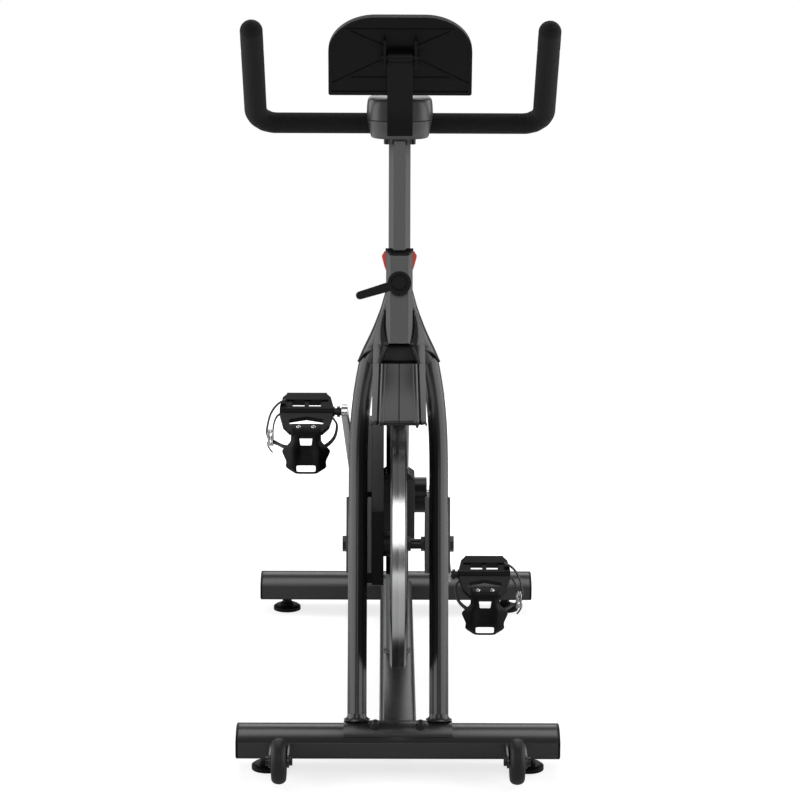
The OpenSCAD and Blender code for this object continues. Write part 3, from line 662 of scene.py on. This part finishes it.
def make_crown():
    """Two sleeves from the head tube down that swallow the tops of the legs, and a web between them."""
    points = smooth_path(CROWN_LINE, 8)
    n = len(points)

    def ring(k):
        t = k / (n - 1) * (len(CROWN_R) - 1)
        i = min(int(t), len(CROWN_R) - 2)
        r = lerp(CROWN_R[i], CROWN_R[i + 1], t - i)
        return oval(0.92 * r, 1.18 * r, CROWN_SIDES, 2.2)

    verts, faces = sweep(points, ring, caps=False)
    # the mouth is cut back in front and on the side of the wheel
    for k in range(n):
        share = (k / (n - 1)) ** 2
        down = (points[min(k + 1, n - 1)] - points[max(k - 1, 0)]).normalized()
        wide = ring(k)[0][0]
        deep = ring(k)[CROWN_SIDES // 4][1]
        for i, (a, b) in enumerate(ring(k)):
            verts[k * CROWN_SIDES + i] -= down * MOUTH_LIFT * share * max(-a / wide, b / deep, 0)
    sleeve = (verts, faces)
    mouth = verts[-CROWN_SIDES:]
    seal = sweep(mouth, lambda k: oval(1.3, 1.3, 10), side=(0, 0, 1), loop=True)
    web = sweep(smooth_path(WEB_LINE, 5), lambda k: oval(12 + k * 1.15, 11, 32, 3.0))
    leg_top = sweep(smooth_path(LEG_TOP_LINE, 6), lambda k: oval(12.8, 15.8, 32, 2.0))
    piece("leg_tops", *join(leg_top, mirrored(leg_top)), "paint", "frame", sharp=60)
    sleeves = join(sleeve, mirrored(sleeve), web)
    piece("crown_sleeves", *sleeves, "paint", "frame", ("crown",), sharp=50, thick=2.0)
    piece("crown_seals", *join(seal, mirrored(seal)), "rubber", "frame", sharp=80)


# ---------- fender ----------
# each pair is a height and what the fender has there: half width, place of its face in y, half gap round the
# head tube
FENDER_W = [(703, 22.6), (698, 25), (692, 28.2), (685, 31), (678, 33.4), (670, 35.8), (662, 37.8),
            (656, 38.9), (650, 39.2), (626, 39.6), (585, 40.4), (538, 41.3)]
FENDER_Y = [(703, -270), (692, -276), (678, -282), (662, -288), (653, -291.5), (645, -297), (640, -300),
            (626, -305), (578, -316), (538, -332)]
HEAD_GAP = [(703, 21.2), (698, 21.8), (692, 22.8), (685, 23.8), (678, 23.6), (670, 22.4), (662, 20),
            (656, 17.4), (653, 16)]
# from the top down: beside the head tube, then the pocket under it, then the closed panel
POCKET_TOP, POCKET_FOOT, FENDER_FOOT = 653, 626, 538
FENDER_ROWS = [703, 700, 696, 692, 688, 683, 678, 673, 668, 663, 658, POCKET_TOP + 0.1]
STEP_CELL = len(FENDER_ROWS) - 1
FENDER_ROWS += [POCKET_TOP - 0.1, 648, 642, 636, 630, POCKET_FOOT + 0.1]
POCKET_ROWS = range(STEP_CELL + 1, len(FENDER_ROWS) - 1)
FENDER_ROWS += [POCKET_FOOT - 0.4, 622, 612, 600, 588, 576, 564, 552, 543, FENDER_FOOT]
# cells from the middle out that the pocket takes of such a row
POCKET_COLUMNS = range(6)
SHEET = 1.6


def fender_half(z):
    """Half section of the fender from the middle to the turned-back edge: x, depth behind the front."""
    w = table(FENDER_W, z)

    def edge(wide, deep):
        """A slanted shoulder that ends in the flange."""
        return [(w - wide, deep), (w - wide / 2, deep + wide * 0.42), (w, deep + wide * 0.84), (w, 15)]

    if z > POCKET_TOP:
        g = table(HEAD_GAP, z)
        lip = [(g, 6), (g, 4), (g, 2.4), (g + 0.3, 1.2), (g + 0.6, 0.4), (g + 1.0, 0)]
        face = [(lerp(g + 1, w, t), 1.2 * t * t) for t in (0.2, 0.35, 0.45)]
        return lip + face + edge((w - g - 1) / 2, 0.4)
    if z > POCKET_FOOT:
        r = lerp(28.5, 17.0, (z - POCKET_FOOT) / (POCKET_TOP - POCKET_FOOT))
        pocket = [(0, 13), (r * 0.35, 13), (r * 0.7, 12.8), (r - 2.2, 12), (r - 0.9, 8), (r + 0.2, 1)]
        face = [(r + 1.6, 0), (lerp(r, w, 0.3), 0.2), (lerp(r, w, 0.42), 0.5)]
        return pocket + face + edge((w - r) / 2, 0.9)
    r = lerp(24.6, 28.0, (POCKET_FOOT - z) / (POCKET_FOOT - FENDER_FOOT))
    face = [(0, 1.4), (1.2, 0.3), (12, 0)]
    ridge = [(r - 4.4, -0.6), (r - 2.0, -2.4), (r + 0.4, -2.6), (r + 2.2, -0.6)]
    groove = [(r + 3.4, 5.0), (r + 5.4, 5.0)]
    return face + ridge + groove + edge(w - r - 6.2, 2.0)


def fender_row(z):
    """The half section at height z, bowed back toward its edge."""
    bow = 7.0 * min(1.0, (z - FENDER_FOOT) / 62)
    return [Vector((x, table(FENDER_Y, z) + d + bow * (x / 40) ** 2, z)) for x, d in fender_half(z)]


def make_fender():
    rows = [fender_row(z) for z in FENDER_ROWS]
    shell = grid(rows, lambda i, j: j not in POCKET_COLUMNS or not (i == STEP_CELL or i in POCKET_ROWS))
    pocket = grid(rows, lambda i, j: j in POCKET_COLUMNS and i in POCKET_ROWS)
    shell = join(shell, mirrored(shell))
    piece("fender_shell", *shell, "paint", "frame", ("fender",), sharp=28, thick=SHEET)
    # the pocket cells are a separate sheet of black rubber: a dark sheet painted in where the pocket lies in
    # shade
    piece("fender_pocket_shade", *join(pocket, mirrored(pocket)), "rubber", "frame", sharp=28, thick=SHEET)
    # a rubber lip follows the lower edge and hooks down at both ends, with one plug
    half = fender_row(FENDER_FOOT)
    lip = [Vector((-p.x, p.y, p.z)) for p in half[::-1]] + half[1:]
    lip = [p + Vector((0, -0.4, -1.0)) for p in lip]
    lip[0] += Vector((-0.6, 0, -4.5))
    lip[-1] += Vector((0.6, 0, -4.5))
    rim = sweep(smooth_path(lip, 3), lambda k: oval(1.5, 1.5, 8), side=(0, 1, 0))
    plug_at = (28, half[-3].y - 0.4 + 2, FENDER_FOOT - 2)
    plug = turned(plug_at, (0, 0, -1), [(0, 0.2), (0, 2.2), (4, 2.2), (6, 1.2), (6, 0.2)], 12)
    piece("fender_rim", *join(rim, plug), "rubber", "frame", sharp=60)


# ---------- toe clips, straps, buckles ----------
# places about a pedal's spindle: x from the bike's middle, y and z from the spindle
CLIP_W = [(-20, 24.5), (-40, 24.5), (-44, 27), (-56, 38.5), (-59, 39.8), (-62, 39), (-74, 33), (-78, 32.5),
          (-84, 33.8), (-87, 32), (-96.5, 16)]
CLIP_ROWS = [-20, -27, -33, -36, -40, -44, -47, -51, -56, -59, -62, -66, -70, -74, -78, -81.5, -84, -87,
             -90, -93, -95, -96.5]
CLIP_FRONT = -46
# windows of the clip: top, foot, half width
UPPER_WINDOW, LOWER_WINDOW = (-33, -47, 10.5), (-81.5, -93, 15.5)
INNER_STRAP = [(108, -10, -8), (101, -14, -20), (105, -24, -38), (118, -33, -50), (130, -34, -53)]
OUTER_STRAP = [(186, 6, 19), (200, 4, 11), (211, 1, -4), (216.5, -3, -24), (217.5, -5, -36), (213, -8, -47)]
LOWER_STRAP = [(192, -4, -1), (201, -5, -8), (206, -6, -21), (207.5, -7, -36), (209, -8, -48),
               (201, -16, -50), (188, -30, -53), (174, -34, -54)]
STRAP_TAIL = [(214, -8, -46), (216, -8, -54), (213, -10, -61), (208, -12, -67)]
RIBBON = [(5.6, 0.7), (5.2, 1.0), (-5.2, 1.0), (-5.6, 0.7)]
RIBBON += [(-a, -b) for a, b in RIBBON]
BUCKLE_AT = Vector((211, -8, -43))
PEDAL_MID, PEDAL_PITCH = 151.5, math.radians(33)
BOLT_HEAD = [(0, 0.2), (0, 5.4), (1.2, 5.4), (1.2, 4.4), (3.0, 4.0), (4.4, 2.6), (4.9, 0.2)]


def toe_clip():
    """Sheet with two windows: a rib on each side of the dished middle, and wings folded back."""
    rows = []
    for z in CLIP_ROWS:
        w = table(CLIP_W, z)
        rib = min(w * 0.62, 21.0)
        # the upper window narrows downward
        taper = lerp(1.0, 0.84, clamp((-z - 33) / 14)) if z > -48 else 1.0
        xs = [0, 4 * taper, 8 * taper, UPPER_WINDOW[2] * taper, min(LOWER_WINDOW[2], w - 0.4)]
        xs += [lerp(xs[-1], w, t) for t in (0.25, 0.5, 0.75, 0.92, 1)]
        row = []
        for x in [-v for v in xs[:0:-1]] + xs:
            fold = 0.75 * max(0.0, abs(x) - rib - 2)
            ridge = -2.2 * bump_at(abs(x), rib, 3.2) * flat_bump_at(z, -66, 22)
            dish = 4.0 * bump_at(z, -60, 13) * flat_bump_at(x, 0, 14)
            flare = 6 * max(0, (-z - 70) / 26) ** 2
            row.append(Vector((PEDAL_MID + x, CLIP_FRONT + fold + ridge + dish + flare, z)))
        rows.append(row)

    def keep(i, j):
        z = (CLIP_ROWS[i] + CLIP_ROWS[i + 1]) / 2
        x = abs((rows[i][j].x + rows[i][j + 1].x) / 2 - PEDAL_MID)
        return not any(foot < z < top and x < half for top, foot, half in (UPPER_WINDOW, LOWER_WINDOW))

    return grid(rows, keep)


def tilt(shape):
    """A shape in the pedal's own plane brought to its resting pitch."""
    verts, faces = shape
    c = math.cos(PEDAL_PITCH)
    s = math.sin(PEDAL_PITCH)
    return [(x, y * c - z * s, y * s + z * c) for x, y, z in verts], faces


def clip_bolts():
    return join(*[tilt(turned((PEDAL_MID + x, -42, 5), (0, 0, 1), BOLT_HEAD, 24)) for x in (-12.3, 12.3)])


def clip_root():
    """The moulded foot of the clip that wraps the front bar of the pedal."""
    section = ((-53, -10), (-54.5, -2), (-53, 5.5), (-50, 7.4), (-36, 7.2), (-34.5, 5.5))
    return tilt(grid([[(PEDAL_MID + x, y, z) for x in (-24, -20, -8, 0, 8, 20, 24)] for y, z in section]))


def buckle_shape():
    """Two bent wire frames, three pins across them, and a cam plate."""
    wires = []
    for x in (-3.4, 3.4):
        corners = ((-9, -11), (9, -11), (9.6, 0), (9, 11), (-9, 11), (-9.6, 0))
        path = [BUCKLE_AT + Vector((x, y, z)) for y, z in corners]
        wires.append(sweep(smooth_path(path + [path[0]], 6), lambda k: oval(1.35, 1.35, 10)))
    for z in (-11, 0, 11):
        pin = [(0, 0.1), (0, 1.8), (18, 1.8), (18, 0.1)]
        wires.append(turned(BUCKLE_AT + Vector((0, -9, z)), (0, 1, 0), pin, 16))
    rows = []
    for z in (-9, -6, -2, 3, 8):
        rows.append([BUCKLE_AT + Vector((4.6 + 0.5 * math.sin(z), y, z)) for y in (-7, -6, 0, 6, 7)])
    verts, faces = grid(rows)
    back = [(p.x + 1.4, p.y, p.z) for p in verts]
    return join(*wires, (verts, faces), (back, faces))


def make_pedal_trim():
    """Toe clip, strap, buckle and bolts of each pedal, all about the pedal's spindle."""
    straps = []
    for line, steps in ((INNER_STRAP, 10), (OUTER_STRAP, 10), (LOWER_STRAP, 10), (STRAP_TAIL, 8)):
        straps.append(sweep(smooth_path(line, steps), lambda k: RIBBON, side=(0, 1, 0)))
    for hand in ("left", "right"):
        _, y, z = [v / MM for v in JOINT_AT[hand + "_pedal_spin"]]

        def place(shape):
            verts, faces = shape
            placed = ([(a, b + y, c + z) for a, b, c in verts], faces)
            return placed if hand == "left" else mirrored(placed)

        body = "pedal_" + hand
        piece("toe_clip_shell_" + hand, *place(toe_clip()), "plastic", body, ("toe_clip_" + hand,),
              sharp=60, thick=2.8, rounds=1)
        piece("toe_clip_root_" + hand, *place(clip_root()), "plastic", body, sharp=60, thick=2.0, rounds=1)
        piece("toe_clip_bolts_" + hand, *place(clip_bolts()), "chrome", body, sharp=35)
        piece("strap_web_" + hand, *place(join(*straps)), "webbing", body, ("strap_" + hand,), sharp=30)
        piece("buckle_frame_" + hand, *place(buckle_shape()), "chrome", body, ("buckle_" + hand,), sharp=45)


# ---------- saddle ----------
# half width of the saddle at each share of the way from nose to tail
SADDLE_W = [(0, 0), (0.012, 10), (0.04, 17), (0.1, 23), (0.2, 29), (0.32, 37), (0.44, 51), (0.56, 70),
            (0.68, 88), (0.78, 98), (0.86, 99), (0.93, 92), (0.97, 78), (0.99, 56), (1, 0)]
SADDLE_WIDEST = max(w for _, w in SADDLE_W)


def eased(k, n):
    """Step k of n from 0 to 1, closer together at both ends."""
    return 0.5 - 0.5 * math.cos(math.pi * k / n)


def make_saddle():
    """Cushion from nose to tail, blown up as cloth and given its channel, then its pan, welt and stitches."""
    low, high = cad("saddle")
    length = high.y - low.y
    half = high.x / SADDLE_WIDEST * 0.965
    rings = []
    for k in range(41):
        t = eased(k, 40)
        w = max(0.4, table(SADDLE_W, t) * half)
        y = low.y + 4 + (length - 8) * t
        floor_z = low.z + 3 + 5 * math.exp(-t / 0.12)
        # the top rises to the tail, is a little higher at the nose and dips where one sits
        top_z = lerp(low.z + 22, high.z - 5, t) + 4 * bump_at(t, 0.02, 0.15) - 4 * bump_at(t, 0.55, 0.2)
        middle = (floor_z + top_z) / 2
        tall = (top_z - floor_z) / 2 * (0.35 + 0.65 * min(1, w / 14))
        rings.append([Vector((x, y, middle + z)) for x, z in oval(w, tall, 28, 2.6)])
    pad = piece("saddle_pad", *loft(rings), "leather", "seat", ("saddle",), sharp=180)
    apply_modifier(pad, "REMESH", mode="VOXEL", voxel_size=0.0045, use_smooth_shade=True)
    inflate(pad, cap=0.006)
    press_channel(pad, low, length)
    apply_modifier(pad, "SUBSURF", levels=1, render_levels=1)
    for p in pad.data.polygons:
        p.use_smooth = True
    add_base()
    add_piping(pad, low, length, half)


CHANNEL_DEEP = 4.2


def press_channel(pad, low, length):
    """A long soft channel down the middle of the top, fading out at the nose and the tail."""
    for v in pad.data.vertices:
        x, y, z = v.co / MM
        t = (y - low.y) / length
        if z > low.z + 14:
            along = clamp((t - 0.12) / 0.15) * clamp((0.93 - t) / 0.12)
            v.co.z -= CHANNEL_DEEP * MM * along * bump_at(x, 0, lerp(4.5, 9, t))


def apply_modifier(obj, kind, **values):
    mod = obj.modifiers.new(kind.lower(), kind)
    for k, v in values.items():
        setattr(mod, k, v)
    bake(obj)


def bake(obj):
    """The object's mesh becomes what its modifiers make of it."""
    deps = bpy.context.evaluated_depsgraph_get()
    fresh = bpy.data.meshes.new_from_object(obj.evaluated_get(deps))
    obj.modifiers.clear()
    obj.data = fresh


SIM_FRAMES = 20


def inflate(obj, cap):
    """Cloth with air in it, stopped where a point has moved cap metres."""
    rest = [v.co.copy() for v in obj.data.vertices]
    mod = obj.modifiers.new("cloth", "CLOTH")
    cloth = mod.settings
    cloth.quality = 6
    cloth.mass = 0.3
    cloth.tension_stiffness = 20
    cloth.compression_stiffness = 20
    cloth.bending_stiffness = 4
    cloth.use_pressure = True
    cloth.uniform_pressure_force = 4
    cloth.effector_weights.gravity = 0
    mod.collision_settings.use_collision = False
    mod.point_cache.frame_start = 1
    mod.point_cache.frame_end = SIM_FRAMES
    for step in range(1, SIM_FRAMES + 1):
        scene.frame_set(step)
    bake(obj)
    for v, r in zip(obj.data.vertices, rest):
        move = v.co - r
        if move.length > cap:
            v.co = r + move * (cap / move.length)
    scene.frame_set(1)


# how far each layer of the saddle's pan stands in from the outline, and its height
BASE_LAYERS = ((9, 0.0), (3, 0.4), (0.8, 1.8), (0, 4.0), (0, 6.4), (1.2, 7.4))


def add_base():
    """Moulded pan under the pad: a dished plate with a rolled lip, following the pad's outline."""
    low, high = cad("saddle_pan")
    half = high.x / SADDLE_WIDEST
    outline = [(table(SADDLE_W, eased(k, 48)) * half, eased(k, 48)) for k in range(49)]
    outline += [(-w, t) for w, t in outline[-2:0:-1]]
    layers = []
    for inset, z in BASE_LAYERS:
        layer = []
        for w, t in outline:
            shrink = max(0.0, 1 - inset / max(abs(w), 9))
            layer.append(Vector((w * shrink, lerp(low.y + inset, high.y - inset, t), low.z + z)))
        layers.append(layer)
    piece("saddle_base", *loft(layers), "plastic", "seat", ("saddle_pan",), sharp=45)


def add_piping(pad, low, length, half):
    """A welt and a row of stitches where the top of the cover meets its side."""
    tree = BVHTree.FromObject(pad, bpy.context.evaluated_depsgraph_get())
    outline = []
    for k in range(97):
        t = 0.006 + 0.985 * eased(k, 96)
        outline.append((table(SADDLE_W, t) * half, t))
    welt = []
    for w, t in outline + [(-w, t) for w, t in outline[::-1]]:
        guess = Vector((w * 1.1, low.y + length * t, lerp(low.z + 13, low.z + 15, t)))
        guess.y += -10 * (t < 0.02) + 10 * (t > 0.97)
        hit, normal, _, _ = tree.find_nearest(guess * MM)
        welt.append(hit / MM + normal * 0.4)
    welt = [p for i, p in enumerate(welt) if (p - welt[i - 1]).length > 0.8]
    cord = sweep(welt, lambda k: oval(1.5, 1.5, 10), side=(0, 0, 1), loop=True)
    piece("saddle_welt", *cord, "leather", "seat", sharp=80)
    stitches = []
    for i, p in enumerate(welt):
        above = Vector((p.x * 0.94, p.y, p.z + 6))
        hit, normal, _, _ = tree.find_nearest(above * MM)
        step = (welt[(i + 1) % len(welt)] - p).normalized() * 1.5
        middle = hit / MM + normal * 0.15
        line = [middle - step, middle, middle + step]
        stitches.append(sweep(line, lambda k: oval(0.42, 0.42, 6), side=normal))
    piece("saddle_stitches", *join(*stitches), "webbing", "seat", sharp=80)


# ---------- welds ----------
def bead(points, r=2.6, pitch=3.2):
    """A weld bead along a closed line: a rope of overlapping drops."""
    total = [0.0]
    for a, b in zip(points, points[1:] + points[:1]):
        total.append(total[-1] + (b - a).length)

    def ring(k):
        swell = 1 + 0.16 * abs(math.sin(math.pi * total[k] / pitch)) + 0.06 * math.sin(total[k] * 0.9)
        return oval(r * swell, r * swell, 10)

    return sweep(points, ring, side=(0.2, 0.1, 1), loop=True)


def level_ellipse(y, z, wide, deep, n=96):
    turns = [2 * math.pi * k / n for k in range(n)]
    return [Vector((wide * math.cos(t), y + deep * math.sin(t), z)) for t in turns]


LEG_FOOT_X, LEG_FOOT_Y, LEG_LEAN = 63.7, -367, 0.18
LEG_HALF_X, LEG_HALF_Y = 13.9, 17.2
SEAT_TUBE_LEAN = math.tan(math.radians(17))
# height above the base plate, and how far the weld stands out from the leg
FLARE = [(0, 6.5), (1.0, 4.4), (2.4, 2.6), (4.5, 1.2), (7.5, 0.3), (10, -0.4)]


def flare_ring(k):
    out = FLARE[k][1]
    return oval(LEG_HALF_X + out, LEG_HALF_Y + out, 40, 2.1)


def make_welds():
    """Flared welds at the feet of the legs, and beads at the foot and the head of the lower seat tube."""
    plate = cad("base_plate")[1].z
    welds = []
    for x in (-LEG_FOOT_X, LEG_FOOT_X):
        path = [Vector((x, LEG_FOOT_Y + h * LEG_LEAN, plate + h)) for h, _ in FLARE]
        welds.append(sweep(path, flare_ring, caps=False))
    bracket = cad("bottom_bracket")[0].z
    welds.append(bead(level_ellipse(7.5, cad("floor_beam")[1].z + 0.5, 20, 21)))
    welds.append(bead(level_ellipse(5 + (bracket - 60) * SEAT_TUBE_LEAN, bracket - 0.5, 20, 21)))
    piece("weld_beads", *join(*welds), "paint", "frame", sharp=80)


# ---------- transport wheels ----------
def make_tyres():
    """Transport wheels with a full round tread and a recessed hub."""
    for hand in ("left", "right"):
        node = "transport_wheel_" + hand
        low, high = cad(node)
        r = (high.z - low.z) / 2
        half = (high.x - low.x) / 2
        side = [(half * 0.9, r - 11.5), (half * 0.75, r - 13), (half * 0.75, 4.2)]
        tread = []
        for k in range(17):
            t = math.pi * k / 16
            tread.append((-half * math.cos(t), r - 10 + 10 * math.sin(t) ** 0.8))
        profile = [(-d, across) for d, across in side[::-1]] + tread + side
        tyre = turned((low + high) / 2, (1, 0, 0), profile, 64)
        piece("tyre_" + hand, *tyre, "rubber", node, (node,), sharp=40)


# ---------- belt guard screws ----------
def screw(at, axis, r=5.0):
    """Domed screw head on a washer, with a round recess."""
    washer = [(0, 0.2), (0, r + 2), (0.9, r + 2), (0.9, r)]
    dome = [(2.4, r * 0.92), (3.3, r * 0.7), (3.6, r * 0.5)]
    recess = [(2.2, r * 0.46), (2.2, 0.2)]
    return turned(at, axis, washer + dome + recess, 24)


def make_screws():
    """Screws that hold the belt guard: three round the crank and two in front of it."""
    low, high = cad("belt_guard_outer")
    _, y, z = [v / MM for v in JOINT_AT["crank_spin"]]
    reach = high.y - y - 13
    spots = [(y + reach * math.cos(t), z + reach * math.sin(t)) for t in map(math.radians, (100, 20, -60))]
    spots += [(y - 150, z + 62), (y - 150, z - 78)]
    shapes = [screw((low.x + 0.1, a, b), (-1, 0, 0)) for a, b in spots]
    piece("guard_screws", *join(*shapes), "black_steel", "frame", sharp=35)


# ---------- CAD parts ----------
def paint(obj, look):
    if not obj.material_slots:
        obj.data.materials.append(LOOKS[look])
    for slot in obj.material_slots:
        slot.material = LOOKS[look]


def smoothing(angle=32.0):
    """Geometry nodes that join the CAD facets and keep an edge sharp only where it bends past the angle."""
    group = bpy.data.node_groups.new("smoothing", "GeometryNodeTree")
    group.interface.new_socket("Geometry", in_out="INPUT", socket_type="NodeSocketGeometry")
    group.interface.new_socket("Geometry", in_out="OUTPUT", socket_type="NodeSocketGeometry")
    add, link = group.nodes.new, group.links.new
    come, go = add("NodeGroupInput"), add("NodeGroupOutput")
    weld = add("GeometryNodeMergeByDistance")
    weld.inputs["Distance"].default_value = 0.00001
    faces, edges = add("GeometryNodeSetShadeSmooth"), add("GeometryNodeSetShadeSmooth")
    edges.domain = "EDGE"
    bend = add("GeometryNodeInputMeshEdgeAngle")
    gentle = add("FunctionNodeCompare")
    gentle.data_type = "FLOAT"
    gentle.operation = "LESS_THAN"
    gentle.inputs["B"].default_value = math.radians(angle)
    link(bend.outputs["Unsigned Angle"], gentle.inputs["A"])
    link(come.outputs[0], weld.inputs["Geometry"])
    link(weld.outputs["Geometry"], faces.inputs["Geometry"])
    link(faces.outputs["Geometry"], edges.inputs["Geometry"])
    link(gentle.outputs["Result"], edges.inputs["Shade Smooth"])
    link(edges.outputs["Geometry"], go.inputs[0])
    return group


make_camera()
make_world()
make_floor()
for softbox in SOFTBOXES:
    area_light(*softbox)
joined = smoothing()
for name, obj in NODES.items():
    paint(obj, SLOT_LOOK[SLOT_OF[name]])
    obj.modifiers.new("smoothing", "NODES").node_group = joined
make_foam()
make_console()
make_crown()
make_fender()
make_pedal_trim()
make_saddle()
make_tyres()
make_welds()
make_screws()
